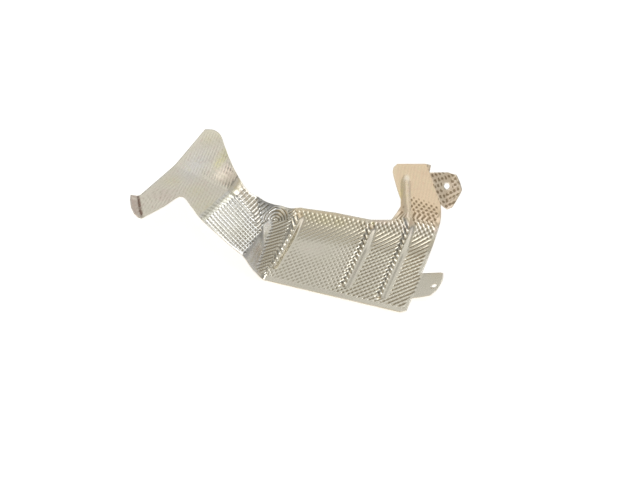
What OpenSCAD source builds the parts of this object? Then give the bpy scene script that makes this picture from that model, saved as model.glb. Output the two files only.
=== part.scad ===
// Fuel tank heat shield: one embossed sheet, pressed into a tray with a wing, an arm and two bolt tabs.
// X runs along the floor panel, Y along its ribs to the back, Z up from the plane the ribs rest on.

/* [Sheet] */
// Thickness of the sheet
sheet_t = 0.8; // [0.5:0.1:1.5]
// Distance from a raised dimple to the next sunken one
cell = 4.5; // [4.5:0.5:12]
// Height of a dimple above the middle of the sheet
emboss_h = 0.4; // [0:0.1:0.5]

/* [Floor panel] */
// Front edge of the panel, along Y
front_y = -87; // [-92:1:-84]
// Foot of the ramp at the left of the panel, along X
ramp_x = -44; // [-52:1:-40]
// Right end of the panel at its front edge
right_x = 130; // [120:1:140]
// How far the right edge leans outwards from front to back
right_lean = 8; // [0:1:14]
// Bend line of the back wall at X = 0
back_y = 40; // [34:1:46]
// Angle of that bend line to X
back_skew = 6.8; // [0:0.1:10]
// Slope of the back wall and the arm, in degrees
wall_angle = 60; // [56:1:64]
// How soft the bend between panel and back wall is
wall_bend = 13; // [8:1:16]
// Slope to which the panel curves up before that bend
dish_slope = 0.42; // [0.2:0.02:0.6]
// Where the panel starts to curve up, in front of the bend line
dish_from = -50; // [-60:1:-40]

/* [Ribs] */
// X of the three ribs at their front ends
rib_x = [-39.5, 52, 97]; // [-42:0.5:100]
// Front ends of the ribs
rib_front = [-60, -64, -68]; // [-72:1:-56]
// Back ends of the first two ribs, and where the third turns up the arm
rib_back = [24, 32, 48]; // [10:1:52]
// How far the ribs lean to the right from front to back
rib_lean = 0.045; // [0:0.005:0.06]
// Width of a rib
rib_w = 16; // [12:1:18]
// Depth of a rib
rib_d = 2.4; // [1.2:0.2:4]
// Upper end of the third rib, which climbs the arm
bead_top = [87, 80]; // [70:1:95]

/* [Ramp, neck and wing] */
// Slope of the ramp
ramp_angle = 50; // [40:1:56]
// X of the crease over the ramp, at Y = 0
crease_x = -62.5; // [-68:0.5:-58]
// Lean of the crease
crease_lean = 0.061; // [0:0.001:0.1]
// X of the bend between neck and wing, at Y = 0
fold_x = -116; // [-124:1:-108]
// Lean of that bend
fold_lean = 0.28; // [0.1:0.01:0.4]
// Free end of the wing, along X to the left
wing_reach = 200; // [194:1:212]
// Back edge of the wing's tip, along Y
tip_y = 99; // [92:1:104]
// Height of the wing over the panel
wing_z = 49; // [44:1:54]
// Fall of the wing towards its free end
wing_fall = 0.05; // [0:0.01:0.15]
// Slope of the flange along the back of neck and wing
flange_slope = 0.5; // [0.2:0.05:0.8]
// Slope of the end lip
lip_slope = 0.8; // [0.4:0.05:1.2]

/* [Arm and tabs] */
// Top edge of the arm, along Y
arm_y = 97.5; // [92:0.5:102]
// Slope of the lower tab
tab_slope = 0.4; // [0.2:0.02:0.6]
// How much flatter the upper tab lies than the arm
tab_back = 0.56; // [0.2:0.02:0.8]
// Diameter of the bolt hole in the lower tab
low_bore_d = 6.6; // [5.5:0.1:8.5]
// Diameter of the bolt hole in the upper tab
top_bore_d = 7; // [5.5:0.1:8.5]
// Distance of the lower hole from the panel's right edge
low_bore_in = 23.5; // [20:0.5:25]

/* [Hidden] */
lift = rib_d + sheet_t / 2 + emboss_h;
shift = [34.4, -7.7, lift];
// Back corner of the panel's right edge
corner_x = right_x + right_lean;
corner_y = 61;
low_bore = [right_x + low_bore_in, -42];
top_bore = [corner_x - 1.5, arm_y - 7];

// Soft ramp: nothing before -w, d after w.
function sm(d, w) = d < -w ? 0 : d > w ? d : pow(d + w, 2) / (4 * w);
function smax(a, b, k) = a + sm(b - a, k);
function smin(a, b, k) = a - sm(a - b, k);
function ease(t) = let (u = min(1, max(0, t))) u * u * (3 - 2 * u);
function mix(a, b, t) = a + (b - a) * t;
// Distance of p from the line a-b, positive on its left.
function off(p, a, b) = cross(b - a, p - a) / norm(b - a);
// Distance of p from the segment a-b.
function near(p, a, b) =
  let (t = min(1, max(0, (p - a) * (b - a) / ((b - a) * (b - a)))))
  norm(p - a - t * (b - a));

// Height of the left side: ramp, crease, neck, bend, wing.
function crease(y) = crease_x + crease_lean * y;
function fold(y) = fold_x + fold_lean * y;
function left_h(p) =
  let (
    y = min(40, max(-95, p[1])),
    s1 = tan(ramp_angle),
    s2 = (wing_z - s1 * (ramp_x - crease(y))) / (crease(y) - fold(y)),
    s3 = -wing_fall
  )
  s1 * sm(ramp_x - p[0], 4) + (s2 - s1) * sm(crease(y) - p[0], 4) + (s3 - s2) * sm(fold(y) - p[0], 6);

// Distance behind the bend line of the back wall.
function behind(p) = off(p, [0, back_y], [cos(back_skew), back_y + sin(back_skew)]);
// Foot of the pocket at the panel's back left corner, then foot of the flange, both from right to left.
pocket = [[-38, 34], [-53, 20], [-67.5, 4], [-63, -16]];
foot = [[-63, -16], [-90, -7], [-112, 18], [-152, 50]];
function wall_d(p) =
  let (
    a = smax(behind(p), off(p, pocket[1], pocket[0]), 5),
    b = smax(a, off(p, pocket[2], pocket[1]), 6),
    c = smax(b, off(p, pocket[3], pocket[2]), 8),
    d = smax(off(p, foot[1], foot[0]), off(p, foot[2], foot[1]), 8),
    e = smax(d, off(p, foot[3], foot[2]), 10)
  )
  smin(c, e, 4);
function wall_s(p) =
  mix(flange_slope * (1 - 0.6 * ease((-110 - p[0]) / 50)), tan(wall_angle) - dish_slope, ease((p[0] + 76) / 36));
// The curve up to the back: a long shallow dish, then the bend into the wall.
function wall_h(p) =
  let (on_panel = ease((p[0] + 62) / 24), reach = mix(5, wall_bend, on_panel), half = -(dish_from + 4) / 2)
  on_panel * dish_slope * sm(behind(p) + half + 4, half) + wall_s(p) * sm(wall_d(p) - 9 * on_panel, reach);

// Bend lines of the lip and of the two tabs.
lip_line = [[-wing_reach, -77], [-wing_reach - 24, -40]];
low_line = [[right_x + 1.3, -62], [right_x + 3.6, -20]];
top_line = [[corner_x - 4, arm_y - 22.5], [corner_x - 25, arm_y - 5.5]];
function bend_h(p) =
  lip_slope * sm(-off(p, lip_line[1], lip_line[0]), 1.5)
  + tab_slope * sm(-off(p, low_line[0], low_line[1]), 2)
  - tab_back * sm(-off(p, top_line[0], top_line[1]), 2) * ease((p[1] - 60) / 10);

function base_h(p) = left_h(p) + wall_h(p) + bend_h(p);
function normal(p) =
  let (
    e = 0.5,
    gx = (base_h(p + [e, 0]) - base_h(p - [e, 0])) / (2 * e),
    gy = (base_h(p + [0, e]) - base_h(p - [0, e])) / (2 * e),
    n = [-gx, -gy, 1]
  )
  n / norm(n);

// Depth of the three pressed ribs below the sheet.
function pressed(d) = d > rib_w / 2 ? 0 : rib_d / 2 * (1 + cos(360 * d / rib_w));
function rib_start(k) = [rib_x[k], rib_front[k]];
function rib_end(k) = [rib_x[k] + rib_lean * (rib_back[k] - rib_front[k]), rib_back[k]];
function rib_depth(p) =
  pressed(near(p, rib_start(0), rib_end(0)))
  + pressed(near(p, rib_start(1), rib_end(1)))
  + pressed(min(near(p, rib_start(2), rib_end(2)), near(p, rib_end(2), bead_top)));

// Outline stations of the long strip: front point and back point, from the free end of the wing to the right.
stations = [
  [[-wing_reach, -77], [7 - wing_reach, tip_y]],
  [[16 - wing_reach, -49], [20 - wing_reach, tip_y]],
  [[28 - wing_reach, -26], [33 - wing_reach, tip_y - 8]],
  [[-151, -41], [-154, 73]],
  [[-133, -57], [-139, 51]],
  [[-115, -65], [-121, 28]],
  [[-100, -71], [-104, 13]],
  [[-85, -77], [-86, 8.5]],
  [[-68, front_y + 4], [-67, 15]],
  [[-55, front_y], [-56, 24]],
  [[-44, front_y], [-44, 34.5]],
  [[-37, front_y], [-37, 37]],
  [[8, front_y], [8, 42]],
  [[53, front_y], [53, 44.5]],
  [[75.5, front_y], [76, 50]],
  [[98, front_y], [98, 58]],
  [[right_x - 6, front_y], [right_x, corner_y - 0.5]],
  [[right_x + 1, front_y + 5], [corner_x, corner_y]]
];
// Length along the sheet from one station to the next, and the columns of the grid that it takes.
spans = [16, 16, 21, 18, 18, 15, 15, 18, 16, 14, 8, 45, 45, 22.5, 22.5, 26, 8];
cols = [for (s = spans) max(1, round(s / cell))];
rows = round(125 / cell);
function total(v, n) = n <= 0 ? 0 : v[n - 1] + total(v, n - 1);
strip_n = total(cols, len(cols));
function smooth(a, b, c, d, t) =
  0.5 * (2 * b + (c - a) * t + (2 * a - 5 * b + 4 * c - d) * t * t + (3 * b - a - 3 * c + d) * t * t * t);
function straight(k) = k >= 9;
function along(k, t, side) =
  let (
    b = stations[k][side],
    c = stations[k + 1][side],
    a = k == 0 ? 2 * b - c : stations[k - 1][side],
    d = stations[min(len(stations) - 1, k + 2)][side]
  )
  straight(k) ? mix(b, c, t) : smooth(a, b, c, d, t);
function span_of(i, k = 0) = k >= len(cols) - 1 || i < cols[k] ? [k, i / cols[k]] : span_of(i - cols[k], k + 1);
strip_edges = [for (i = [0:strip_n]) let (s = span_of(i)) [along(s[0], s[1], 0), along(s[0], s[1], 1)]];

// The free end of the wing bulges outwards where the lip starts.
lip_v = 0.24;
function bulge(i, v) =
  let (c = v < lip_v ? v / lip_v : (1 - v) / (1 - lip_v), f = max(0, 1 - i / cols[0]))
  [-24, 0] * c * f;

// Arm: its left and right edges from the strip upwards.
arm_left = [
  [82, 57.5], [85.5, 64.5], [84, 69], [78, 74], [71.5, arm_y - 17.5], [68, arm_y - 13.5], [68, arm_y - 10.5],
  [72, arm_y - 7.5]
];
arm_right = [for (p = [[0, -36.5], [-0.5, -31.5], [-2, -26.5], [-4, -22.5], [-11, -17], [-18, -11.5], [-25, -5.5], [-25, 0]])
  [corner_x + p[0], max(corner_y, arm_y + p[1])]];
arm_n = max(7, round(63 / cell));
arm_i = strip_n - round(56 / cell);
function pick(v, t) = let (k = min(len(v) - 2, floor(t))) mix(v[k], v[k + 1], t - k);

lip_n = max(1, round(11 / cell));
lip_rows = round(rows * lip_v);
lip_out = [for (p = [[-3, -79.5], [-9, -77.5], [-16.5, -70], [-24.5, -58], [-30, -46]]) [p[0] - wing_reach, p[1]]];

low_out = [for (p = [[15.5, -60], [22.5, -58.5], [28, -49], [30.5, -39], [31.5, -30], [30, -21], [27, -19]])
  [right_x + p[0], p[1]]];
low_j = [round(rows * 0.14), round(rows * 0.434)];
low_n = max(2, round(27 / cell));

top_out = [for (p = [[5, -24], [10.5, -21], [15.5, -11.5], [18, -5.5], [13.5, -0.5], [7, 4.5], [-4, 3]])
  [corner_x + p[0], arm_y + p[1]]];
top_j = [rows + round(arm_n * 3 / 7), rows + round(arm_n * 6 / 7)];
top_n = max(2, round(27 / cell));

i0 = lip_n;
i1 = lip_n + strip_n;
ni = i1 + max(low_n, top_n);
nj = rows + arm_n;
ia = lip_n + arm_i;

function strip_xy(i, j) = let (v = j / rows) mix(strip_edges[i][0], strip_edges[i][1], v) + bulge(i, v);
function arm_xy(i, j) =
  let (
    t = (i - arm_i) / (strip_n - arm_i),
    w = (j - rows) / arm_n * 7,
    a = j == rows ? strip_xy(arm_i, rows) : pick(arm_left, w),
    b = pick(arm_right, w),
    flat = mix(a, b, t),
    low = strip_xy(i, rows) - mix(strip_xy(arm_i, rows), strip_xy(strip_n, rows), t)
  )
  flat + low * (1 - (j - rows) / arm_n);
function xy(i, j) =
  i < i0 ? mix(strip_xy(0, j), pick(lip_out, j / lip_rows * 4), (i0 - i) / lip_n) :
  i > i1 && j <= rows ?
    mix(strip_xy(strip_n, j), pick(low_out, (j - low_j[0]) / (low_j[1] - low_j[0]) * 6), (i - i1) / low_n) :
  i > i1 ? mix(arm_xy(strip_n, j), pick(top_out, (j - top_j[0]) / (top_j[1] - top_j[0]) * 6), (i - i1) / top_n) :
  j <= rows ? strip_xy(i - i0, j) : arm_xy(i - i0, j);

function on(i, j) =
  i < 0 || j < 0 || i >= ni || j >= nj ? false :
  i < i0 ? j < lip_rows :
  i < i1 ? j < rows || i >= ia :
  (j >= low_j[0] && j < low_j[1] && i < i1 + low_n) || (j >= top_j[0] && j < top_j[1] && i < i1 + top_n);
function used(i, j) = on(i, j) || on(i - 1, j) || on(i, j - 1) || on(i - 1, j - 1);
function inner(i, j) = on(i, j) && on(i - 1, j) && on(i, j - 1) && on(i - 1, j - 1);

// Dimples stop at every edge, on the wedge beside the crease, on the lower tab and around the upper hole.
function wedge(y) = y > 3 ? 0 : min(0.2 * (3 - y), 3.5 - 0.146 * y);
function dimple(i, j, p) =
  !inner(i, j) || i <= i0 || (i >= i1 && j < rows) ? 0 :
  let (
    past = p[0] - crease(p[1]),
    c = max(ease(-past / 2), ease((past - wedge(p[1])) / 2 + 1)),
    b = ease((norm(p - top_bore) - 6) / 3)
  )
  emboss_h * c * b * ((i + j) % 2 == 0 ? 1 : -1);

function spot(i, j) =
  let (p = xy(i, j), n = normal(p), m = [p[0], p[1], base_h(p)] + n * (dimple(i, j, p) - rib_depth(p)))
  [m + n * sheet_t / 2, m - n * sheet_t / 2];

function id(i, j, s) = (i * (nj + 1) + j) * 2 + s;
function quad_faces(a, b, c, d, cut) = cut ? [[a, b, c], [a, c, d]] : [[a, b, d], [b, c, d]];
function wall_faces(a, b) = [[a, b, b + 1], [a, b + 1, a + 1]];
function cell_faces(i, j) =
  let (a = id(i, j, 0), b = id(i + 1, j, 0), c = id(i + 1, j + 1, 0), d = id(i, j + 1, 0), cut = (i + j) % 2 == 0)
  concat(
    quad_faces(d, c, b, a, !cut),
    quad_faces(a + 1, b + 1, c + 1, d + 1, cut),
    on(i, j - 1) ? [] : wall_faces(a, b),
    on(i + 1, j) ? [] : wall_faces(b, c),
    on(i, j + 1) ? [] : wall_faces(c, d),
    on(i - 1, j) ? [] : wall_faces(d, a)
  );

module pressed_sheet() {
  pts = [for (i = [0:ni]) for (j = [0:nj]) each (used(i, j) ? spot(i, j) : [[0, 0, 0], [0, 0, 0]])];
  faces = [for (i = [0:ni - 1]) for (j = [0:nj - 1]) if (on(i, j)) each cell_faces(i, j)];
  polyhedron(points = pts, faces = faces, convexity = 10);
}

// A bolt hole square to the tab it goes through.
module bolt_hole(p, d) {
  n = normal(p);
  translate([p[0], p[1], base_h(p)])
    rotate([0, acos(n[2]), atan2(n[1], n[0])])
      cylinder(h = 6, d = d, center = true, $fn = 48);
}

module heat_shield() {
  color([0.78, 0.77, 0.74])
    translate(shift)
      difference() {
        pressed_sheet();
        bolt_hole(low_bore, low_bore_d);
        bolt_hole(top_bore, top_bore_d);
      }
}

heat_shield();
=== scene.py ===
import math
from types import SimpleNamespace

import bpy
import numpy as np
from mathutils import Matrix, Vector


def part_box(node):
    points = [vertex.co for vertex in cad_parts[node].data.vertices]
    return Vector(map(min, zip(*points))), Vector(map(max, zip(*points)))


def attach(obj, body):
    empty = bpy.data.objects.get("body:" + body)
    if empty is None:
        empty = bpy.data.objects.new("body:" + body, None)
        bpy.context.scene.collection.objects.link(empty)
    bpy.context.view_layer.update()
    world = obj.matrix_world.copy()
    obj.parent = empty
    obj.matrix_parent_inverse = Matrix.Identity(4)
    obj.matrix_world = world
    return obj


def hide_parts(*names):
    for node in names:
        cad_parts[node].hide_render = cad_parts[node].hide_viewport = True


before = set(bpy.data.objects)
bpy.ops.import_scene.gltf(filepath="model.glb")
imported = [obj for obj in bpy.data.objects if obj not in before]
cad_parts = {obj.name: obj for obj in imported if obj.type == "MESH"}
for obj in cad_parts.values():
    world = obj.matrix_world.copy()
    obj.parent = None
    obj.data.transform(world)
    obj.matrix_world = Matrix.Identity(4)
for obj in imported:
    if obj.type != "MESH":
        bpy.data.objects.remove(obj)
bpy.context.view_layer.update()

# Sizes are in millimetres, in the sheet's own frame: the panel's plane is Z = 0.
MM = 0.001
SHEET_T = 0.8
EMBOSS_H = 0.4
RIB_D = 2.4
SHIFT = np.array([34.4, -7.7, RIB_D + SHEET_T / 2 + EMBOSS_H])
CAD_LOW, CAD_HIGH = [np.array(corner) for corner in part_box("heat_shield")]

# Floor panel, and the back wall that it curves up to in a long shallow dish
FRONT_Y, BACK_Y = -87.0, 40.0
RAMP_X, RIGHT_X = -44.0, 130.0
RIGHT_LEAN = 8.0
BACK_SKEW = math.radians(6.8)
WALL_SLOPE = math.tan(math.radians(60))
WALL_BEND, NECK_BEND = 13.0, 5.0
WALL_SET_BACK = 9.0
# Start and reach along X of the panel's curve and of the wall's full slope
PANEL_FROM, WALL_FROM = (-62, 24), (-76, 36)
DISH_SLOPE = 0.42
DISH_FROM, DISH_TO = -50.0, -4.0

# Three pressed ribs; the third runs on up the arm as a bead
RIB_X = (-39.5, 52.0, 97.0)
RIB_FRONT = (-60.0, -64.0, -68.0)
RIB_BACK = (24.0, 32.0, 48.0)
RIB_LEAN = 0.045
RIB_W = 16.0
BEAD_TOP = (87.0, 80.0)
BEAD_W = 8.4

# Ramp, neck and wing, whose bends keep one shape beyond LEFT_Y
RAMP_SLOPE = math.tan(math.radians(50))
CREASE_X, CREASE_LEAN = -62.5, 0.061
FOLD_X, FOLD_LEAN = -116.0, 0.28
CREASE_BEND, FOLD_BEND = 4.0, 6.0
LEFT_Y = (-95.0, 40.0)
WING_Z, WING_FALL = 49.0, 0.05
WING_BULGE = 24.0
FLANGE_SLOPE, FLANGE_FADE, FADE_FROM = 0.5, 0.6, (-110, -50)

# Foot of the pocket, foot of the flange, and how softly their stretches run into each other
POCKET = ((-38, 34), (-53, 20), (-67.5, 4), (-63, -16))
POCKET_BENDS = (5, 6, 8)
FLANGE_FOOT = ((-63, -16), (-90, -7), (-112, 18), (-152, 50))
FLANGE_BENDS = (8, 10)
FOOT_BEND = 4

# Lip, arm, tabs and bores: slopes, bend lines, where they lie in plan, and middle and diameter of each bore
LIP_SLOPE, LIP_BEND = 0.8, 1.5
TAB_SLOPE, TAB_BACK, TAB_BEND = 0.4, 0.56, 2.0
LIP_LINE = ((-200, -77), (-224, -40))
LOW_LINE = ((RIGHT_X + 1.3, -62), (RIGHT_X + 3.6, -20))
TOP_LINE = ((134, 75), (113, 92))
LIP_X = -190.0
TAB_Y = 60.0
ARM_X = 60.0
BORES = (((153.5, -42.0), 6.6), ((136.5, 90.5), 7.0))

# Outline, as pairs of front and back points from the free end of the wing to the right
STATIONS = np.array([
    [[-200, -77], [-193, 99]], [[-184, -49], [-180, 99]], [[-172, -26], [-167, 91]],
    [[-151, -41], [-154, 73]], [[-133, -57], [-139, 51]], [[-115, -65], [-121, 28]],
    [[-100, -71], [-104, 13]], [[-85, -77], [-86, 8.5]], [[-68, -83], [-67, 15]],
    [[-55, FRONT_Y], [-56, 24]], [[-44, FRONT_Y], [-44, 34.5]], [[-37, FRONT_Y], [-37, 37]],
    [[8, FRONT_Y], [8, 42]], [[53, FRONT_Y], [53, 44.5]], [[75.5, FRONT_Y], [76, 50]],
    [[98, FRONT_Y], [98, 58]], [[RIGHT_X - 6, FRONT_Y], [RIGHT_X, 60.5]],
    [[RIGHT_X + 1, FRONT_Y + 5], [RIGHT_X + RIGHT_LEAN, 61]]], float)
# Length along the sheet from one pair to the next; the outline is curved up to STRAIGHT_FROM
SPANS = (16, 16, 21, 18, 18, 15, 16, 18, 19, 17, 9, 47, 47, 24, 24, 27, 8)
STRAIGHT_FROM = 9
ARM_LEFT = ((82, 57.5), (85.5, 64.5), (84, 69), (78, 74), (71.5, 80), (68, 84), (68, 87), (72, 90))
ARM_RIGHT = ((138, 61), (137.5, 66), (136, 71), (134, 75), (127, 80.5), (120, 86), (113, 92), (113, 97.5))
LIP_OUT = ((-203, -79.5), (-209, -77.5), (-216.5, -70), (-224.5, -58), (-230, -46))
LOW_OUT = ((145.5, -60), (152.5, -58.5), (158, -49), (160.5, -39), (161.5, -30), (160, -21), (157, -19))
TOP_OUT = ((143, 73.5), (148.5, 76.5), (153.5, 86), (156, 92), (151.5, 97), (145, 102), (134, 100.5))

# Grid of the sheet: its step, the lengths that it covers, and where lip and tabs join as shares of a side
STEP = 1.08
STRIP_DEEP, ARM_LONG, ARM_WIDE, LIP_LONG, TAB_LONG = 142, 62, 56, 11, 25
LIP_V = 0.24
LOW_V = (0.14, 0.434)
TOP_V = (3 / 7, 6 / 7)
# Plan that the tables of flat lengths cover, and the steepest slope that stretches the rows of pits
PLAN_X, PLAN_Y = (-245, 175), (-100, 115)
STEEPEST = 2

# Embossing: two crossing rows of pits, each as its turns to a millimetre along X and Y of the flat sheet
SHEET_ROWS = ((0.147, -0.137), (0.161, 0.112))
# The same two rows where the sheet was drawn out, in plan except on the ramp
RAMP_ROWS = ((0.238, -0.146), (0.260, 0.120))
NECK_ROWS = ((0.216, -0.042), (0.080, 0.181))
WING_ROWS = ((0.240, 0.030), (0.096, 0.150))
TAB_ROWS = ((0.123, -0.202), (0.115, 0.247))
NECK_STRETCH = 1.07
FLANGE_PULL = 0.055
ARM_FROM, ARM_PULL = 76.0, (0.033, 0.054)
# Middle of the pocket; above it the rows of pits run in leaning arches
RINGS, RING_STEP, RING_OUT, RING_LEFT = (-58.0, 0.0), 2.9, 14.0, 12.0
RING_ACROSS, RING_UP = (0.78, 0.28), (-0.82, 0.52)
# Smooth wedge beside the crease: its point along Y, how fast it opens, and its width there and further front
WEDGE_Y, WEDGE_OPEN, WEDGE_W, WEDGE_LEAN = -2.0, 0.45, 3.5, 0.146
# Step along the fold: where it starts and ends past the fold, its steep and shallow sides, and its dashes
STEP_FROM, STEP_TO = -3.5, 7.0
STEP_STEEP, STEP_SHALLOW = 2.2, 8.3
DASH_STEP, DASH_DEPTH, DASH_SWELL = 5.3, 0.4, 0.1
PIT_DEPTH = 0.95
PLAIN_RIM, TAB_RIM = 5.0, 1.0

# Share of the first row of pits in each area, and what is added to it from a start along X over a reach
PANEL_SHARE, WALL_SHARE, TAB_SHARE, WING_SHARE, RIB_SHARE = 0.70, 0.27, 0.5, 0.7, 0.12
PANEL_MORE = ((0.08, 50, 20), (0.1, 100, 10))
NECK_SHARE, NECK_MORE = 0.26, ((0.2, -95, 25),)
RAMP_MORE, FLANGE_MORE = 0.1, 0.15
# Depth of the pits in each area, as a share of PIT_DEPTH
PANEL_DEPTH, RIGHT_DEEPER, RIGHT_FROM, WALL_DEEPER = 0.72, 0.24, (20, 40), 0.3
RAMP_DEPTH, ARCH_DEPTH = 1.5, 1.3
NECK_DEPTH, FLANGE_DEEPER, NECK_DEEPER, NECK_FROM = 0.62, 0.4, 0.4, (-97, 20)
WING_SHALLOWER, ARM_SHALLOWER = 0.74, 0.92
RIB_DEEPER = 0.2
# How flat the ground between pits is on the panel, less on the left and on the wall
FLAT_GROUND, FLAT_LEFT, FLAT_WALL = 0.7, 0.45, 0.2

# Spots on the sheet: strongest share, middle and reach in plan
WING_ROOT = (0.25, (-133, 30), (14, 18))
WING_FOOT = (0.3, (-190, -40), (40, 50))
PANEL_MIDDLE = (0.7, (-4, -16), (42, 30))
# Where the painted cool reflection on the wing is strongest
COOL_SPOT = (1.0, (-180, 34), (30, 50))
GOLD_SPOTS = ((1.8, (-149, 51), (13, 26)), (0.55, (-178, 88), (24, 22)), (0.5, (-136, -34), (26, 30)),
              (0.45, (-195, 0), (22, 18)), (0.4, (-158, -12), (24, 20)), (0.5, (0, 30), (44, 12)),
              (1.0, (83, 74), (5, 14)), (1.0, (57, 41), (4, 4)))
ROSE_SPOTS = ((1.0, (102, 53), (5, 4)), (1.0, (134, 52), (6, 8)), (0.5, (-133, 30), (14, 18)),
              (0.6, (-190, -32), (34, 22)), (0.6, (60, 46), (70, 7)))

# Painted shade in the pits: how dark they are on the panel, and what each area adds
PIT_DARK, RIGHT_DARK, NECK_DARK, RAMP_DARK, WING_DARK = 0.72, 0.55, 0.55, 0.1, 1.3
DARK_FROM = (36, 10)
ARM_DARK, ARCH_DARK = 0.27, 0.45
# Shares of the tints that follow an area, the cool ones a painted cool reflection, and where the arm's
# painted warm reflection starts and how far it reaches
TAB_COOL, BEAD_COOL, WALL_COOL = 0.9, 0.7, 0.6
FOLD_GOLD, TAB_ROSE, LIP_ROSE, LIP_BROWN_SHARE, BROWN_BEND_HALF = 0.3, 0.4, 0.7, 0.4, 1.8
WARM_X, WARM_Y = (ARM_X, 20), (51, 11)

# Colours of the metal, and of the painted warm and cool reflections and the painted shade in the pits on it
BARE = (0.81, 0.765, 0.645, 1)
# Painted warm reflection of the warm front, on the arm
WARM_REFLECTION = (0.79, 0.71, 0.605, 1)
# Painted cool reflection of the paler surround
COOL_REFLECTION = (0.80, 0.79, 0.75, 1)
OLIVE = (0.76, 0.735, 0.60, 1)
GOLD = (0.80, 0.77, 0.46, 1)
ROSE = (0.74, 0.60, 0.53, 1)
DULL = (0.66, 0.61, 0.53, 1)
# Painted shade that darkens the pits
PIT_SHADE = (0.42, 0.38, 0.32, 1)
WORN = (0.90, 0.87, 0.82, 1)
# Darker brown along the lip's bend and on the lip
DARK_BROWN = (0.26, 0.17, 0.13, 1)
# Roughness: that of clean metal, and what clouds, pits, grain and worn edges add
SHEEN = 0.17
CLOUD_DULL, PIT_DULL, GRAIN_DULL, EDGE_DULL = (-0.03, 0.05), 0.06, 0.05, 0.12
# Speckles of the metal, as cells to a metre with their detail, and the distance between rolling lines
CLOUDS, PATCHES, MOTTLE, GRAIN = (28.0, 3.0), (70.0, 4.0, 0.6), (190.0, 2.0), (1500.0, 2.0)
ROLL_STEP, ROLL_SHARE = 3.95, 0.38
GRAIN_RELIEF, ROLL_RELIEF = 0.15, 0.3
RELIEF_H, RELIEF_SHARE = 0.2, 0.5


def soft(d, w):
    """Ramp that starts softly: 0 below -w, d above w."""
    return np.where(d < -w, 0, np.where(d > w, d, (d + w) ** 2 / (4 * w)))


def soft_max(a, b, w):
    return a + soft(b - a, w)


def soft_min(a, b, w):
    return a - soft(a - b, w)


def ease(t):
    t = np.clip(t, 0, 1)
    return t * t * (3 - 2 * t)


def grow(value, start, reach):
    """0 up to start, then softly up to 1 a reach further on; a reach below 0 goes the other way."""
    return ease((value - start) / reach)


def inside(d, w):
    """1 where d is above w, 0 where it is below -w."""
    return ease((d + w) / (2 * w))


def band(d, low, high, w):
    """1 where d lies between low and high, with ends as soft as w."""
    return inside(d - low, w) * inside(high - d, w)


def toward(value, goal, share):
    return value + (goal - value) * share


def side(x, y, a, b):
    """Distance from the line a-b, positive on its left."""
    dx, dy = b[0] - a[0], b[1] - a[1]
    return (dx * (y - a[1]) - dy * (x - a[0])) / math.hypot(dx, dy)


def near(x, y, a, b):
    """Distance from the segment a-b."""
    dx, dy = b[0] - a[0], b[1] - a[1]
    t = np.clip(((x - a[0]) * dx + (y - a[1]) * dy) / (dx * dx + dy * dy), 0, 1)
    return np.hypot(x - a[0] - t * dx, y - a[1] - t * dy)


def spot(x, y, share, middle, reach):
    """The share in the middle of an ellipse, 0 from its rim."""
    return share * ease(1 - np.hypot((x - middle[0]) / reach[0], (y - middle[1]) / reach[1]))


def crease(y):
    return CREASE_X + CREASE_LEAN * y


def fold(y):
    return FOLD_X + FOLD_LEAN * y


def past_lip(x, y):
    """Distance past the bend of the end lip."""
    return -side(x, y, LIP_LINE[1], LIP_LINE[0])


def past_low_tab(x, y):
    """Distance past the bend of the lower tab."""
    return -side(x, y, *LOW_LINE)


def past_top_tab(x, y):
    """Distance past the bend of the upper tab."""
    return -side(x, y, *TOP_LINE)


def left_height(x, y):
    """Height of ramp, neck and wing."""
    y = np.clip(y, *LEFT_Y)
    neck = (WING_Z - RAMP_SLOPE * (RAMP_X - crease(y))) / (crease(y) - fold(y))
    return (RAMP_SLOPE * soft(RAMP_X - x, CREASE_BEND)
            + (neck - RAMP_SLOPE) * soft(crease(y) - x, CREASE_BEND)
            + (-WING_FALL - neck) * soft(fold(y) - x, FOLD_BEND))


def behind_wall(x, y):
    """Distance behind the bend line of the back wall."""
    return side(x, y, (0, BACK_Y), (math.cos(BACK_SKEW), BACK_Y + math.sin(BACK_SKEW)))


def behind_foot(x, y):
    """Distance behind the foot of wall, pocket and flange."""
    pocket = behind_wall(x, y)
    for a, b, bend in zip(POCKET, POCKET[1:], POCKET_BENDS):
        pocket = soft_max(pocket, side(x, y, b, a), bend)
    first, second, third = [side(x, y, b, a) for a, b in zip(FLANGE_FOOT, FLANGE_FOOT[1:])]
    flange = soft_max(soft_max(first, second, FLANGE_BENDS[0]), third, FLANGE_BENDS[1])
    return soft_min(pocket, flange, FOOT_BEND)


def wall_slope(x):
    """Slope behind the foot: slight on wing and neck, full behind the panel."""
    flange = FLANGE_SLOPE * (1 - FLANGE_FADE * grow(x, *FADE_FROM))
    return toward(flange, WALL_SLOPE - DISH_SLOPE, grow(x, *WALL_FROM))


def wall_rise(x, y):
    """Height of the curve up to the back: a long shallow dish, then the bend into the wall."""
    panel = grow(x, *PANEL_FROM)
    dish = DISH_SLOPE * soft(behind_wall(x, y) - (DISH_FROM + DISH_TO) / 2, (DISH_TO - DISH_FROM) / 2)
    bend = toward(NECK_BEND, WALL_BEND, panel)
    return panel * dish + wall_slope(x) * soft(behind_foot(x, y) - WALL_SET_BACK * panel, bend)


def height(x, y):
    """Height of the middle of the sheet, without ribs or pits."""
    bends = (LIP_SLOPE * soft(past_lip(x, y), LIP_BEND) + TAB_SLOPE * soft(past_low_tab(x, y), TAB_BEND)
             - TAB_BACK * soft(past_top_tab(x, y), TAB_BEND) * grow(y, TAB_Y, 10))
    return left_height(x, y) + wall_rise(x, y) + bends


def slopes(x, y, e=0.25):
    """Slope along X and along Y, taken over e to either side."""
    return ((height(x + e, y) - height(x - e, y)) / (2 * e),
            (height(x, y + e) - height(x, y - e)) / (2 * e))


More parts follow.
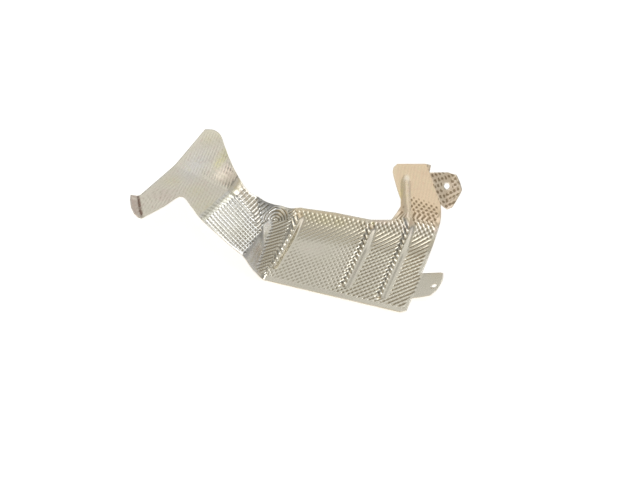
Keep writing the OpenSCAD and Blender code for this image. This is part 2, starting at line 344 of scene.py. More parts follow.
def normals(x, y):
    """Outward direction of the sheet's upper side."""
    gx, gy = slopes(x, y)
    n = np.stack([-gx, -gy, np.ones_like(gx)], -1)
    return n / np.linalg.norm(n, axis=-1, keepdims=True)


def rib_ends(k):
    """Front and back end of a rib."""
    return ((RIB_X[k], RIB_FRONT[k]), (RIB_X[k] + RIB_LEAN * (RIB_BACK[k] - RIB_FRONT[k]), RIB_BACK[k]))


def rib_depth(x, y):
    """How far the ribs are pressed down below the sheet."""
    def pressed(d):
        return np.where(d < RIB_W / 2, RIB_D / 2 * (1 + np.cos(2 * math.pi * d / RIB_W)), 0)

    first, second, third = [near(x, y, *rib_ends(k)) for k in range(len(RIB_X))]
    third = np.minimum(third, near(x, y, rib_ends(2)[1], BEAD_TOP))
    return pressed(first) + pressed(second) + pressed(third)


def steps_in(length):
    """Steps of the grid that cover a length."""
    return int(round(length / STEP))


def smooth_between(a, b, c, d, t):
    """Point at t from b to c, on a smooth curve through a, b, c and d."""
    return 0.5 * (2 * b + (c - a) * t + (2 * a - 5 * b + 4 * c - d) * t ** 2
                  + (3 * b - a - 3 * c + d) * t ** 3)


def edge_points():
    """Front and back point of every column of the strip."""
    out = []
    last = len(STATIONS) - 1
    for k, span in enumerate(SPANS):
        b, c = STATIONS[k], STATIONS[k + 1]
        a = 2 * b - c if k == 0 else STATIONS[k - 1]
        d = STATIONS[min(last, k + 2)]
        columns = max(1, steps_in(span))
        for i in range(columns + (k == len(SPANS) - 1)):
            t = i / columns
            out.append(b + (c - b) * t if k >= STRAIGHT_FROM else smooth_between(a, b, c, d, t))
    return np.array(out)


def pick(points, share):
    """Point at a share of the way along a list of points."""
    points = np.asarray(points, float)
    t = share * (len(points) - 1)
    k = np.clip(np.floor(t).astype(int), 0, len(points) - 2)
    part = (t - k)[..., None]
    return points[k] * (1 - part) + points[k + 1] * part


# The grid's columns run from the lip over the strip to the tabs, its rows from the front edge up the arm
EDGES = edge_points()
STRIP_N = len(EDGES) - 1
ROWS = steps_in(STRIP_DEEP)
ARM_N = steps_in(ARM_LONG)
ARM_I = STRIP_N - steps_in(ARM_WIDE)
LIP_N = steps_in(LIP_LONG)
TAB_N = steps_in(TAB_LONG)
LIP_ROWS = int(round(ROWS * LIP_V))
LOW_J = [int(round(ROWS * v)) for v in LOW_V]
TOP_J = [ROWS + int(round(ARM_N * v)) for v in TOP_V]
I0 = LIP_N
I1 = LIP_N + STRIP_N
IA = LIP_N + ARM_I
NI = I1 + TAB_N
NJ = ROWS + ARM_N
CORNERS = ((0, 0), (0, 1), (1, 0), (1, 1))


def even_steps(samples=401):
    """Share of the way from front to back at each row; rows are evenly spaced along the bent sheet."""
    fine = np.linspace(0, 1, samples)
    line = EDGES[:, None, 0] * (1 - fine[None, :, None]) + EDGES[:, None, 1] * fine[None, :, None]
    rise = np.diff(height(line[..., 0], line[..., 1]), axis=1)
    run = np.linalg.norm(np.diff(line, axis=1), axis=-1)
    length = np.concatenate([np.zeros((len(EDGES), 1)), np.cumsum(np.hypot(run, rise), 1)], 1)
    length /= length[:, -1:]
    wanted = np.arange(ROWS + 1) / ROWS
    return np.array([np.interp(wanted, one, fine) for one in length])


def grid():
    """Plan position of every grid point, and which cells the sheet fills."""
    xy = np.full((NI + 1, NJ + 1, 2), np.nan)
    v = even_steps()[..., None]
    strip = EDGES[:, None, 0] * (1 - v) + EDGES[:, None, 1] * v
    # The free end of the wing bulges outwards where the lip starts
    fade = np.maximum(0, 1 - np.arange(STRIP_N + 1) / steps_in(SPANS[0]))[:, None]
    swell = np.where(v[..., 0] < LIP_V, v[..., 0] / LIP_V, (1 - v[..., 0]) / (1 - LIP_V))
    strip[..., 0] -= WING_BULGE * swell * fade
    xy[I0:I1 + 1, :ROWS + 1] = strip
    # Arm over the back edge
    t = ((np.arange(ARM_I, STRIP_N + 1) - ARM_I) / (STRIP_N - ARM_I))[:, None, None]
    w = np.arange(ARM_N + 1) / ARM_N
    left, right = pick(ARM_LEFT, w)[None], pick(ARM_RIGHT, w)[None]
    left[0, 0] = strip[ARM_I, ROWS]
    flat = left * (1 - t) + right * t
    low = strip[ARM_I:, ROWS:ROWS + 1] - (strip[ARM_I, ROWS] * (1 - t) + strip[STRIP_N, ROWS] * t)
    xy[IA:I1 + 1, ROWS:] = flat + low * (1 - w)[None, :, None]
    # End lip
    out = np.arange(1, LIP_N + 1)[:, None, None] / LIP_N
    rim = pick(LIP_OUT, np.arange(LIP_ROWS + 1) / LIP_ROWS)[None]
    xy[I0 - 1::-1, :LIP_ROWS + 1] = strip[0, :LIP_ROWS + 1][None] * (1 - out) + rim * out
    # Tabs
    out = np.arange(1, TAB_N + 1)[:, None, None] / TAB_N
    for (j0, j1), tab_rim in ((LOW_J, LOW_OUT), (TOP_J, TOP_OUT)):
        root = xy[I1, j0:j1 + 1][None]
        rim = pick(tab_rim, np.arange(j1 - j0 + 1) / (j1 - j0))[None]
        xy[I1 + 1:, j0:j1 + 1] = root * (1 - out) + rim * out
    cells = np.zeros((NI, NJ), bool)
    cells[I0:I1, :ROWS] = True
    cells[IA:I1, ROWS:] = True
    cells[:I0, :LIP_ROWS] = True
    cells[I1:, LOW_J[0]:LOW_J[1]] = True
    cells[I1:, TOP_J[0]:TOP_J[1]] = True
    return xy, cells


def corners_of(cells):
    """Grid points that touch any of the cells."""
    points = np.zeros((NI + 1, NJ + 1), bool)
    for a, b in CORNERS:
        points[a:a + NI, b:b + NJ] |= cells
    return points


def flat_lengths():
    """Lengths along the sheet from the foot of the ramp and from Y = 0, as tables over the plan."""
    gx, gy = np.arange(*PLAN_X, 1.0), np.arange(*PLAN_Y, 1.0)
    x, y = np.meshgrid(gx, gy, indexing="ij")
    sx, sy = slopes(x, y)
    s = np.cumsum(np.sqrt(1 + np.minimum(sx, STEEPEST) ** 2), 0)
    t = np.cumsum(np.sqrt(1 + np.minimum(sy, STEEPEST) ** 2), 1)
    s -= s[np.searchsorted(gx, RAMP_X)][None, :]
    t -= t[:, np.searchsorted(gy, 0)][:, None]
    return s, t


def look_up(table, x, y):
    """Value of a table over the plan, between its points."""
    u = np.clip(x - PLAN_X[0], 0, table.shape[0] - 1.001)
    v = np.clip(y - PLAN_Y[0], 0, table.shape[1] - 1.001)
    i, j = u.astype(int), v.astype(int)
    fu, fv = u - i, v - j
    return ((table[i, j] * (1 - fu) + table[i + 1, j] * fu) * (1 - fv)
            + (table[i, j + 1] * (1 - fu) + table[i + 1, j + 1] * fu) * fv)


def edge_distance(cells, most=12):
    """Rough distance of each grid point from the sheet's edge, counted over a few steps."""
    around = np.zeros((NI + 1, NJ + 1), int)
    for a, b in CORNERS:
        around[a:a + NI, b:b + NJ] += cells
    steps = np.where(around == len(CORNERS), 99.0, 0.0)
    for _ in range(most):
        closer = steps.copy()
        closer[1:] = np.minimum(closer[1:], steps[:-1] + 1)
        closer[:-1] = np.minimum(closer[:-1], steps[1:] + 1)
        closer[:, 1:] = np.minimum(closer[:, 1:], steps[:, :-1] + 1)
        closer[:, :-1] = np.minimum(closer[:, :-1], steps[:, 1:] + 1)
        steps = closer
    return steps * STEP


def arch(x, y):
    """Distance from the middle of the pocket, and 1 where the rows of pits follow it."""
    dx, dy = x - RINGS[0], y - RINGS[1]
    across = RING_ACROSS[0] * dx + RING_ACROSS[1] * dy
    up = RING_UP[0] * dx + RING_UP[1] * dy
    far = np.hypot(across, up)
    return far, inside(RING_OUT - far, 1) * inside(up + 0.5, 0.5) * (x > crease(y) - RING_LEFT)


def fold_step(x, y):
    """Small step pressed along the fold, steep on the wing's side: 0 off it, 1 at its foot."""
    past = x - fold(y)
    return np.clip(np.minimum((past - STEP_FROM) / STEP_STEEP, (STEP_TO - past) / STEP_SHALLOW), 0, 1)


def wedge(y):
    """Width of the smooth wedge beside the crease, widest at the front edge."""
    return np.where(y > WEDGE_Y, 0, np.minimum(WEDGE_OPEN * (WEDGE_Y - y), WEDGE_W - WEDGE_LEAN * y))


def on_bead(x, y):
    """1 on the bead that runs up the arm."""
    foot = rib_ends(2)[1]
    return inside(BEAD_W / 2 - near(x, y, foot, BEAD_TOP), 1) * grow(y, foot[1], 3)


def areas(x, y):
    """Soft shares, from 0 to 1, of the areas that have pits of their own."""
    left, wing = inside(crease(y) - x, 2), inside(fold(y) - x, 5)
    behind = behind_foot(x, y)
    return SimpleNamespace(
        left=left, wing=wing, arched=arch(x, y)[1],
        ramp=(1 - left) * inside(RAMP_X - x, 1),
        flange=left * (1 - wing) * inside(behind, 3),
        wall=(1 - left) * inside(behind + 16, 6),
        arm=grow(y, TAB_Y + 2, 6) * (x > ARM_X),
        tab=inside(past_top_tab(x, y), 2) * (y > TAB_Y))


def pit_rows(x, y, s, t):
    """Turns of the two rows of pits at each point; the rows change where the sheet was drawn."""
    def rows(u, v, waves):
        return [u * across + v * along for across, along in waves]

    past = x - crease(y)
    far = arch(x, y)[0]
    step = fold_step(x, y)
    a, b = rows(past * NECK_STRETCH, y, NECK_ROWS)
    changes = ((x < RAMP_X, rows(s, t, RAMP_ROWS)),
               (past < 0.5, (a - FLANGE_PULL * np.maximum(0, behind_foot(x, y)), b)),
               (x <= fold(y), rows(x, y, WING_ROWS)),
               ((past_top_tab(x, y) > 0) & (y > TAB_Y), rows(x, y, TAB_ROWS)),
               (step > 0, 2 * (np.arccos(step) / (2 * math.pi),)),
               (arch(x, y)[1] > 0.5, (far / RING_STEP, far / RING_STEP)))
    up_arm = np.where(x > ARM_X, np.maximum(0, t - ARM_FROM), 0)
    a, b = [row + pull * up_arm for row, pull in zip(rows(s, t, SHEET_ROWS), ARM_PULL)]
    for where, (row_a, row_b) in changes:
        a, b = np.where(where, row_a, a), np.where(where, row_b, b)
    return a, b


def pit_share(x, y, area):
    """Share of the first row of pits."""
    def added(steps):
        return sum(more * grow(x, start, reach) for more, start, reach in steps)

    share = PANEL_SHARE + added(PANEL_MORE) + RAMP_MORE * area.ramp
    share = toward(share, NECK_SHARE + added(NECK_MORE), area.left * (1 - area.flange))
    share = share + FLANGE_MORE * area.flange
    share = toward(share, WALL_SHARE, area.wall * (1 - area.ramp))
    share = toward(share, TAB_SHARE, np.maximum(area.tab, area.arm))
    return toward(share, WING_SHARE, area.wing)


def pit_depth(x, y, area):
    """Depth of the pits, as a share of PIT_DEPTH."""
    panel = PANEL_DEPTH + RIGHT_DEEPER * grow(x, *RIGHT_FROM)
    depth = panel * (1 - area.left) * (1 - area.ramp) + RAMP_DEPTH * area.ramp
    depth = depth + NECK_DEPTH * area.left + FLANGE_DEEPER * area.flange
    lively = spot(x, y, *WING_ROOT) + spot(x, y, *WING_FOOT)
    depth = depth * (1 - WING_SHALLOWER * area.wing * (1 - lively))
    depth = depth + WALL_DEEPER * area.wall * (1 - area.ramp)
    depth = toward(depth, ARCH_DEPTH, area.arched)
    # Along the fold a dashed step and a plain strip; a row of pits in the bend of the lip
    depth = depth * (1 - band(x - fold(y), STEP_FROM - 1, STEP_TO + 1, 1))
    dashes = DASH_DEPTH + DASH_SWELL * np.cos(2 * math.pi * y / DASH_STEP)
    depth = np.where(fold_step(x, y) > 0, dashes, depth)
    depth = np.maximum(depth, inside(LIP_BEND - np.abs(past_lip(x, y)), 1) * (x < LIP_X))
    depth = depth * (1 + NECK_DEEPER * area.left * (1 - area.flange) * grow(x, *NECK_FROM))
    depth = depth * (1 - ARM_SHALLOWER * area.arm * grow(y, 70, 6) * (1 - area.tab))
    return depth * (1 - spot(x, y, *PANEL_MIDDLE))


def pit_weights(x, y):
    """Share of each row of pits, depth, and how far the ground between them is flat."""
    area = areas(x, y)
    share, depth = pit_share(x, y, area), pit_depth(x, y, area)
    for rib, front, back in zip(RIB_X, RIB_FRONT, RIB_BACK):
        past = x - rib - RIB_LEAN * (y - front)
        along = band(y, front - 3, back + 3, 3)
        right = along * band(past, 0.5, RIB_W / 2 + 1, 1)
        left = along * band(past, -4.5, 0.5, 1)
        depth = depth * (1 - right) * (1 + RIB_DEEPER * left)
        share = toward(share, RIB_SHARE, left)
    flat = FLAT_GROUND - FLAT_LEFT * area.left - FLAT_WALL * area.wall
    flat = np.maximum(flat, np.maximum(area.tab, area.arm))
    return share, 1 - share, depth * (1 - on_bead(x, y)), flat * (1 - area.arched)


def open_ground(x, y, edge, rim):
    """1 where pits are pressed; 0 at edges and bores, on the wedge beside the crease and on the lower tab."""
    on_tab = (past_top_tab(x, y) > 0) & (y > TAB_Y)
    ground = grow(edge, np.where(on_tab, TAB_RIM, PLAIN_RIM) - 2, 3) * grow(rim, 2, 2)
    ground = ground * np.where(x < -60, 1, grow(y, FRONT_Y + PLAIN_RIM, 4))
    past = x - crease(y)
    ground = ground * np.maximum(ease(-past / 1.5), grow(past, wedge(y) - 2, 2))
    return ground * ((past_low_tab(x, y) < 1) | (y > 0))


def tints(x, y, edge, depth):
    """Share of each colour at each point."""
    past_crease, past_fold = x - crease(y), x - fold(y)
    tab = inside(past_top_tab(x, y), 1) * (y > TAB_Y)
    on_lip = x < LIP_X
    # Painted warm reflection on the arm, which faces the warm front
    warm = grow(y, *WARM_Y) * grow(x, *WARM_X) * (1 - tab)
    neck = inside(-past_crease, 1) * grow(x, *NECK_FROM) * inside(past_fold, 2)
    ramp = inside(RAMP_X - x, 1) * inside(past_crease, 2)
    wall = grow(x, 40, 20) * inside(behind_foot(x, y) + 14, 8)
    # Painted shade in the pits, darker in some areas
    dark = PIT_DARK + RIGHT_DARK * grow(x, *DARK_FROM) + NECK_DARK * neck + RAMP_DARK * ramp
    dark = dark + np.maximum(ARM_DARK * (tab + warm), ARCH_DARK * arch(x, y)[1])
    dark = dark + WING_DARK * inside(-past_fold, 4)
    # Painted cool reflection on the upper tab, the bead, the wall, the wing, along the fold, on the neck and
    # beside the crease
    cool = [TAB_COOL * tab, BEAD_COOL * on_bead(x, y), WALL_COOL * wall * (1 - warm), spot(x, y, *COOL_SPOT),
            band(past_fold, -4, 1, 1), inside(2 - past_crease, 3) * inside(past_fold, 4),
            band(past_crease, 0, wedge(y) + 1, 1)]
    gold = [FOLD_GOLD * band(past_fold, 0, STEP_TO, 1)] + [spot(x, y, *one) for one in GOLD_SPOTS]
    rose = [TAB_ROSE * tab, LIP_ROSE * inside(past_lip(x, y) - 2, 1) * on_lip]
    rose = rose + [spot(x, y, *one) for one in ROSE_SPOTS]
    # Darker brown along the bend of the lip and on the lip beyond it
    lip_brown = [inside(BROWN_BEND_HALF - np.abs(past_lip(x, y)), 1) * on_lip,
             LIP_BROWN_SHARE * inside(past_lip(x, y), 1) * on_lip]
    strongest = {"cool": cool, "gold": gold, "rose": rose, "lip_brown": lip_brown}
    shares = {name: np.maximum.reduce(values) for name, values in strongest.items()}
    shares["warm"] = warm
    shares["dark"] = dark * (fold_step(x, y) == 0)
    shares["faint"] = ease(1.2 - depth * 2) * grow(edge, 2, 3) * ((y > BACK_Y) | (x < ARM_X))
    return shares


def cut_bores(cells, points):
    """Leave out the cells whose middle lies in a bore, and pull the points round it to its rim."""
    rim = np.full(points.shape[:2], 99.0)
    for (bx, by), d in BORES:
        rel = points - np.array([bx, by, height(bx, by)])
        axis = normals(bx, by)
        rel = rel - (rel @ axis)[..., None] * axis
        r = np.linalg.norm(rel, axis=-1)
        hole = (r[:-1, :-1] + r[1:, :-1] + r[:-1, 1:] + r[1:, 1:]) / 4 < d / 2
        cells &= ~hole
        on_rim = corners_of(hole) & corners_of(cells)
        pulled = np.array([bx, by, height(bx, by)]) + rel * (d / 2 / np.maximum(r, 1e-6))[..., None]
        points = np.where(on_rim[..., None], pulled, points)
        rim = np.minimum(rim, np.where(on_rim, 0, np.maximum(0, r - d / 2)))
    return points, rim


def sheet_mesh(cells, used, middle, outward):
    """Closed mesh: upper side, lower side and the cut edge all round."""
    index = -np.ones((NI + 1, NJ + 1), int)
    count = int(used.sum())
    index[used] = np.arange(count)
    half = outward[used] * SHEET_T / 2
    verts = (np.concatenate([middle[used] + half, middle[used] - half]) + SHIFT) * MM
    i, j = np.nonzero(cells)
    a, b, c, d = index[i, j], index[i + 1, j], index[i + 1, j + 1], index[i, j + 1]
    faces = [np.stack([a, b, c, d], 1), np.stack([d, c, b, a], 1) + count]
    padded = np.pad(cells, 1)
    for di, dj, p, q in ((0, -1, a, b), (1, 0, b, c), (0, 1, c, d), (-1, 0, d, a)):
        open_side = ~padded[i + 1 + di, j + 1 + dj]
        p, q = p[open_side], q[open_side]
        faces.append(np.stack([q, p, p + count, q + count], 1))
    mesh = bpy.data.meshes.new("heat_shield_sheet")
    mesh.from_pydata(verts.tolist(), [], np.concatenate(faces).tolist())
    mesh.validate()
    return mesh


def make_sheet():
    """The sheet with its bends, ribs and bores, and the rows of pits and tints as attributes."""
    xy, cells = grid()
    used = corners_of(cells)
    x, y = np.where(used, xy[..., 0], 0), np.where(used, xy[..., 1], 0)
    outward = normals(x, y)
    points, rim = cut_bores(cells, np.stack([x, y, height(x, y)], -1))
    used = corners_of(cells)
    x, y = points[..., 0], points[..., 1]
    mesh = sheet_mesh(cells, used, points - outward * rib_depth(x, y)[..., None], outward)
    s, t = [look_up(table, x, y) for table in flat_lengths()]
    flat = np.stack([s[used], t[used]], -1) * MM
    corner = np.zeros(len(mesh.loops), int)
    mesh.loops.foreach_get("vertex_index", corner)
    uv = mesh.uv_layers.new(name="flat_sheet")
    uv.data.foreach_set("uv", np.concatenate([flat, flat])[corner].ravel())
    edge = edge_distance(cells)
    share_a, share_b, depth, ground = pit_weights(x, y)
    depth = depth * open_ground(x, y, edge, rim)
    row_a, row_b = pit_rows(x, y, s, t)
    shares = {"rows_a": share_a * depth, "rows_b": share_b * depth, "spots": ground,
              "rim": np.minimum(edge, rim), **tints(x, y, edge, depth)}
    for name, values in shares.items():
        layer = mesh.attributes.new(name, "FLOAT", "POINT")
        layer.data.foreach_set("value", np.tile(values[used], 2).astype(np.float32))
    for name, values in (("outward", outward), ("rows", np.stack([row_a, row_b, 0 * s], -1))):
        layer = mesh.attributes.new(name, "FLOAT_VECTOR", "POINT")
        layer.data.foreach_set("vector", np.tile(values[used], (2, 1)).astype(np.float32).ravel())
    mesh.shade_smooth()
    sheet = bpy.data.objects.new("heat_shield_sheet", mesh)
    bpy.context.scene.collection.objects.link(sheet)
    return sheet


class Bench:
    """Makes and links the nodes of one tree."""

    def __init__(self, tree):
        self.tree = tree

    def put(self, socket, value):
        """Give a socket a value, or the result of another node."""
        if isinstance(value, bpy.types.NodeSocket):
            self.tree.links.new(value, socket)
        else:
            socket.default_value = value

    def add(self, kind, inputs=None, **settings):
        new = self.tree.nodes.new(kind)
        for name, value in settings.items():
            setattr(new, name, value)
        for name, value in (inputs or {}).items():
            self.put(new.inputs[name], value)
        return new

    def math(self, operation, *values):
        return self.add("ShaderNodeMath", dict(enumerate(values)), operation=operation).outputs[0]

    def spread(self, value, low, high, least=0.0, most=1.0):
        """least where the value is at low, most where it is at high, softly between."""
        levels = {"Value": value, "From Min": low, "From Max": high, "To Min": least, "To Max": most}
        return self.add("ShaderNodeMapRange", levels, interpolation_type="SMOOTHSTEP").outputs[0]

    def blend(self, share, a, b, kind="MIX"):
        """Colour at a share of the way from a to b."""
        return self.add("ShaderNodeMix", {0: share, 6: a, 7: b}, data_type="RGBA", blend_type=kind).outputs[2]


def emboss_tree(finish):
    """Nodes that press two crossing rows of pits into the sheet, against its outward direction."""
    tree = bpy.data.node_groups.new("press_pits", "GeometryNodeTree")
    face = tree.interface
    face.new_socket("Geometry", in_out="INPUT", socket_type="NodeSocketGeometry")
    for name in ("Depth", "Pit start"):
        face.new_socket(name, in_out="INPUT", socket_type="NodeSocketFloat")
    face.new_socket("Geometry", in_out="OUTPUT", socket_type="NodeSocketGeometry")
    bench = Bench(tree)

    def named(name, kind="FLOAT"):
        read = bench.add("GeometryNodeInputNamedAttribute", {"Name": name}, data_type=kind)
        return read.outputs["Attribute"]

    def row_of_pits(turns, share):
        wave = bench.math("COSINE", bench.math("MULTIPLY", turns, 2 * math.pi))
        return bench.math("MULTIPLY", wave, named(share))

    entry = bench.add("NodeGroupInput")
    rows = bench.add("ShaderNodeSeparateXYZ", {0: named("rows", "FLOAT_VECTOR")}).outputs
    wave = bench.math("ADD", row_of_pits(rows[0], "rows_a"), row_of_pits(rows[1], "rows_b"))
    # Where the ground is flat, only the pits are left of the wave
    dip = bench.spread(wave, entry.outputs["Pit start"], 1.0)
    pit = bench.add("ShaderNodeMix", {0: named("spots"), 2: wave, 3: dip}, data_type="FLOAT").outputs[0]
    store = bench.add("GeometryNodeStoreNamedAttribute", {"Name": "pit", "Value": pit},
                      data_type="FLOAT", domain="POINT")
    # The pits go half of their depth down, and the ground between them as much up
    down = bench.math("MULTIPLY", bench.math("MULTIPLY", pit, entry.outputs["Depth"]), -0.5)
    push = bench.add("ShaderNodeVectorMath", {0: named("outward", "FLOAT_VECTOR"), "Scale": down},
                     operation="SCALE")
    move = bench.add("GeometryNodeSetPosition", {"Offset": push.outputs[0]})
    real = bench.add("GeometryNodeRealizeInstances")
    paint = bench.add("GeometryNodeSetMaterial", {"Material": finish})
    chain = (entry, store, move, real, paint, bench.add("NodeGroupOutput"))
    for first, second in zip(chain, chain[1:]):
        bench.put(second.inputs["Geometry"], first.outputs["Geometry"])
    return tree


def emboss(piece, finish):
    """Press the pits, and keep the result as a plain mesh."""
    tree = emboss_tree(finish)
    work = piece.modifiers.new("emboss", "NODES")
    work.node_group = tree
    sizes = {"Depth": PIT_DEPTH * MM, "Pit start": 0.0}
    for item in tree.interface.items_tree:
        if item.in_out == "INPUT" and item.name in sizes:
            work[item.identifier] = sizes[item.name]
    graph = bpy.context.evaluated_depsgraph_get()
    done = bpy.data.meshes.new_from_object(piece.evaluated_get(graph))
    piece.modifiers.remove(work)
    # A few pits at the ribs and at the upper tab reach up to 0.3 mm past the box of the solid; they end at it
    points = np.zeros(len(done.vertices) * 3)
    done.vertices.foreach_get("co", points)
    done.vertices.foreach_set("co", np.clip(points.reshape(-1, 3), CAD_LOW, CAD_HIGH).ravel())
    piece.data = done


def embossed_aluminium():
    """Bare rolled aluminium: painted warm and cool reflections, pits with painted shade and more roughness,
    rolling grain, worn edges.
    """
    mat = bpy.data.materials.new("embossed_aluminium")
    mat.use_nodes = True
    mat.node_tree.nodes.clear()
    bench = Bench(mat.node_tree)
    where = bench.add("ShaderNodeTexCoord").outputs["Object"]

    def attribute(name):
        return bench.add("ShaderNodeAttribute", attribute_name=name).outputs["Fac"]

    def noise(scale, detail, roughness=0.5):
        inputs = {"Vector": where, "Scale": scale, "Detail": detail, "Roughness": roughness}
        return bench.add("ShaderNodeTexNoise", inputs).outputs["Fac"]

    def patchy(share, speckle, *levels):
        return bench.math("MULTIPLY", share, bench.spread(speckle, *levels))

    cloud, patch, mottle, grain = noise(*CLOUDS), noise(*PATCHES), noise(*MOTTLE), noise(*GRAIN)
    faint = attribute("faint")
    color = BARE
    for share, tint in ((attribute("warm"), WARM_REFLECTION), (attribute("cool"), COOL_REFLECTION),
                        (patchy(attribute("gold"), patch, 0.3, 0.6, 0.3, 1.0), GOLD),
                        (patchy(attribute("rose"), patch, 0.3, 0.6, 0.2, 0.9), ROSE),
                        (bench.spread(cloud, 0.45, 0.7, 0.0, 0.35), OLIVE),
                        (bench.spread(patch, 0.35, 0.65, 0.0, 0.10), DULL),
                        (patchy(faint, mottle, 0.5, 0.72, 0.0, 0.8), OLIVE),
                        (patchy(faint, mottle, 0.5, 0.28, 0.0, 0.42), ROSE)):
        color = bench.blend(share, color, tint)
    pit = bench.spread(attribute("pit"), -0.1, 0.9)
    # Painted shade: the pits are darkened by the dark share of each area
    shaded_pits = bench.blend(1.0, color, PIT_SHADE, "MULTIPLY")
    edge = bench.spread(attribute("rim"), 0.2, 1.6, 1.0, 0.0)
    for share, tint in ((bench.math("MULTIPLY", pit, attribute("dark")), shaded_pits),
                        (patchy(attribute("lip_brown"), patch, 0.35, 0.55, 0.2, 1.0), DARK_BROWN),
                        (patchy(edge, patch, 0.4, 0.6, 0.1, 0.7), WORN)):
        color = bench.blend(share, color, tint)
    # Rolling lines along Y show where the pits are faint
    turns = 2 * math.pi / (20 * ROLL_STEP * MM)
    wave = {"Vector": where, "Scale": turns, "Distortion": 0.8, "Detail": 2.0}
    lines = bench.add("ShaderNodeTexWave", wave, bands_direction="X")
    rolled = bench.math("MULTIPLY", lines.outputs["Fac"], faint)
    color = bench.blend(bench.math("MULTIPLY", rolled, ROLL_SHARE), color, DULL)
    dullness = bench.spread(cloud, 0.3, 0.7, SHEEN + CLOUD_DULL[0], SHEEN + CLOUD_DULL[1])
    for value, more in ((pit, PIT_DULL), (grain, GRAIN_DULL), (edge, EDGE_DULL)):
        dullness = bench.math("MULTIPLY_ADD", value, more, dullness)
    relief = bench.math("MULTIPLY_ADD", rolled, ROLL_RELIEF, bench.math("MULTIPLY", grain, GRAIN_RELIEF))
    bumps = {"Strength": RELIEF_SHARE, "Distance": RELIEF_H * MM, "Height": relief}
    normal = bench.add("ShaderNodeBump", bumps).outputs[0]
    surface = {"Metallic": 1.0, "Base Color": color, "Roughness": dullness, "Normal": normal}
    metal = bench.add("ShaderNodeBsdfPrincipled", surface)
    bench.add("ShaderNodeOutputMaterial", {"Surface": metal.outputs["BSDF"]})
    return mat


sheet = make_sheet()
emboss(sheet, embossed_aluminium())
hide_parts("heat_shield")
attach(sheet, "root")

# Floor, lamps, world and camera
FLOOR_HALF, FLOOR_Z = 6.0, -0.0005
FLOOR_GREY, FLOOR_GLOW = (0.8, 0.8, 0.8, 1), 0.6
# Each lamp, as seen from the sheet: turn from +Y towards +X, rise, width and height in degrees, level, colour
LAMPS = {
    "back_window": (-20, 40, (84, 26), 0.46, (1.0, 1.0, 1.0)),
    "right_lamp": (17, 48, (15, 11), 2.9, (0.94, 0.97, 1.0)),
    "fold_lamp": (3, 55, (12, 5), 0.65, (1.0, 1.0, 1.0)),
    "left_window": (-54, 50, (24, 24), 0.16, (1.0, 1.0, 1.0)),
    "root_lamp": (-76, 41, (26, 15), 0.48, (1.0, 0.91, 0.85)),
    "edge_lamp": (183, 52, (40, 16), 0.5, (1.0, 0.94, 0.92)),
    "top_lamp": (90, 78, (26, 16), 1.0, (1.0, 1.0, 1.0)),
    "front_card": (185, 18, (60, 34), 0.34, (1.0, 0.89, 0.75)),
}
LAMP_FAR = 3.0
# Level of the world from the horizon up to the zenith, and its colours straight above and in front
SKY_STOPS = ((0.0, 0.62), (0.12, 0.90), (0.3, 0.45), (0.65, 0.27), (1.0, 0.30))
SKY_BLUE = 0.99
ABOVE_DULL, ABOVE_BRIGHT = (0.55, 0.525, 0.465, 1), (1.08, 1.07, 1.05, 1)
FRONT_WARM = (0.64, 0.56, 0.45, 1)
# Where those colours start and are full, as parts of a direction of length 1
BRIGHT_X, BRIGHT_Y, ABOVE_Z, FRONT_FROM = (-0.16, 0.18), (0.34, 0.02), (0.80, 0.92), (0.04, -0.4)
CAMERA_TURN, CAMERA_RISE = math.radians(18), math.radians(43)
CAMERA_FAR = 1060.0
CAMERA_F, FRAME_W = 850.0, 640
SENSOR_W = 36


def plain_floor():
    """Pale floor that the camera and the metal see as white, with the sheet's shadow."""
    mesh = bpy.data.meshes.new("floor")
    corners = [(a * FLOOR_HALF, b * FLOOR_HALF, FLOOR_Z) for a, b in ((-1, -1), (1, -1), (1, 1), (-1, 1))]
    mesh.from_pydata(corners, [], [(0, 1, 2, 3)])
    floor = bpy.data.objects.new("floor", mesh)
    bpy.context.scene.collection.objects.link(floor)
    mat = bpy.data.materials.new("pale_floor")
    mat.use_nodes = True
    bench = Bench(mat.node_tree)
    rays = bench.add("ShaderNodeLightPath").outputs
    seen = bench.math("MAXIMUM", rays["Is Camera Ray"], rays["Is Glossy Ray"])
    seen = bench.math("MAXIMUM", seen, rays["Is Transmission Ray"])
    for name, value in (("Base Color", FLOOR_GREY), ("Roughness", 0.9), ("Specular IOR Level", 0.0),
                        ("Emission Color", (1, 1, 1, 1)),
                        ("Emission Strength", bench.math("MULTIPLY", seen, FLOOR_GLOW))):
        bench.put(mat.node_tree.nodes["Principled BSDF"].inputs[name], value)
    floor.data.materials.append(mat)


def studio_lamp(name, turn, rise, spread, level, color):
    """Lamp that faces the sheet and looks as wide as its spread from there."""
    a, e = math.radians(turn), math.radians(rise)
    place = Vector((math.sin(a) * math.cos(e), math.cos(a) * math.cos(e), math.sin(e))) * LAMP_FAR
    light = bpy.data.lights.new(name, "AREA")
    light.shape = "RECTANGLE"
    light.size, light.size_y = [2 * LAMP_FAR * math.tan(math.radians(width / 2)) for width in spread]
    light.energy = level * math.pi * light.size * light.size_y
    light.color = color
    lamp = bpy.data.objects.new(name, light)
    lamp.location = place
    lamp.rotation_euler = (-place).to_track_quat("-Z", "Y").to_euler()
    bpy.context.scene.collection.objects.link(lamp)


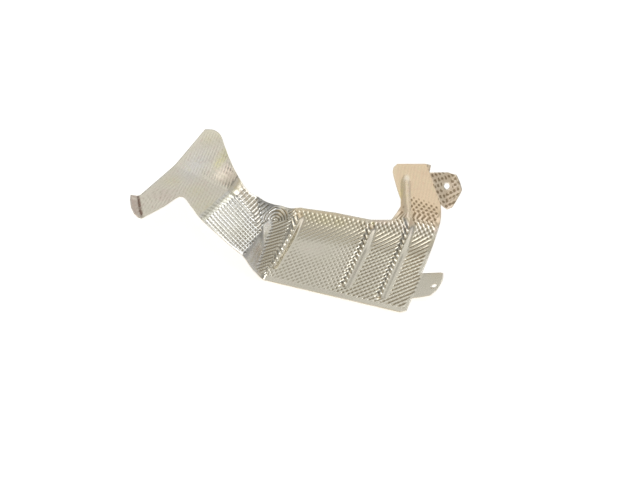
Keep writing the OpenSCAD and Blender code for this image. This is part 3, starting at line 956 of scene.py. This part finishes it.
def pale_world():
    """Soft studio: overhead bright to the front right and dark elsewhere, warm in front."""
    world = bpy.data.worlds.new("pale_world")
    bpy.context.scene.world = world
    world.use_nodes = True
    world.node_tree.nodes.clear()
    bench = Bench(world.node_tree)
    where = bench.add("ShaderNodeTexCoord").outputs["Generated"]
    direction = bench.add("ShaderNodeSeparateXYZ", {0: where}).outputs
    levels = bench.add("ShaderNodeValToRGB", {0: direction["Z"]})
    levels.color_ramp.interpolation = "EASE"
    stops = levels.color_ramp.elements
    while len(stops) < len(SKY_STOPS):
        stops.new(0.5)
    for stop, (at, level) in zip(stops, SKY_STOPS):
        stop.position = at
        stop.color = (level, level, level * SKY_BLUE, 1)
    bright = bench.math("MULTIPLY", bench.spread(direction["X"], *BRIGHT_X),
                        bench.spread(direction["Y"], *BRIGHT_Y))
    above = bench.blend(bright, ABOVE_DULL, ABOVE_BRIGHT)
    color = bench.blend(bench.spread(direction["Z"], *ABOVE_Z), levels.outputs[0], above)
    color = bench.blend(bench.spread(direction["Y"], *FRONT_FROM), color, FRONT_WARM)
    sky = bench.add("ShaderNodeBackground", {"Color": color})
    bench.add("ShaderNodeOutputWorld", {"Surface": sky.outputs[0]})


def photo_camera():
    """Camera at the photo's angle, aimed at the middle of the panel."""
    level = math.cos(CAMERA_RISE)
    back = Vector((math.sin(CAMERA_TURN) * level, -math.cos(CAMERA_TURN) * level, math.sin(CAMERA_RISE)))
    target = Vector((SHIFT * MM).tolist())
    data = bpy.data.cameras.new("camera")
    data.sensor_width = SENSOR_W
    data.lens = CAMERA_F / FRAME_W * SENSOR_W
    data.clip_start, data.clip_end = 0.01, 50
    camera = bpy.data.objects.new("camera", data)
    camera.location = target + back * CAMERA_FAR * MM
    camera.rotation_euler = (-back).to_track_quat("-Z", "Y").to_euler()
    bpy.context.scene.collection.objects.link(camera)
    bpy.context.scene.camera = camera


plain_floor()
for lamp_name, lamp_values in LAMPS.items():
    studio_lamp(lamp_name, *lamp_values)
pale_world()
photo_camera()
bpy.context.scene.view_settings.view_transform = "Standard"
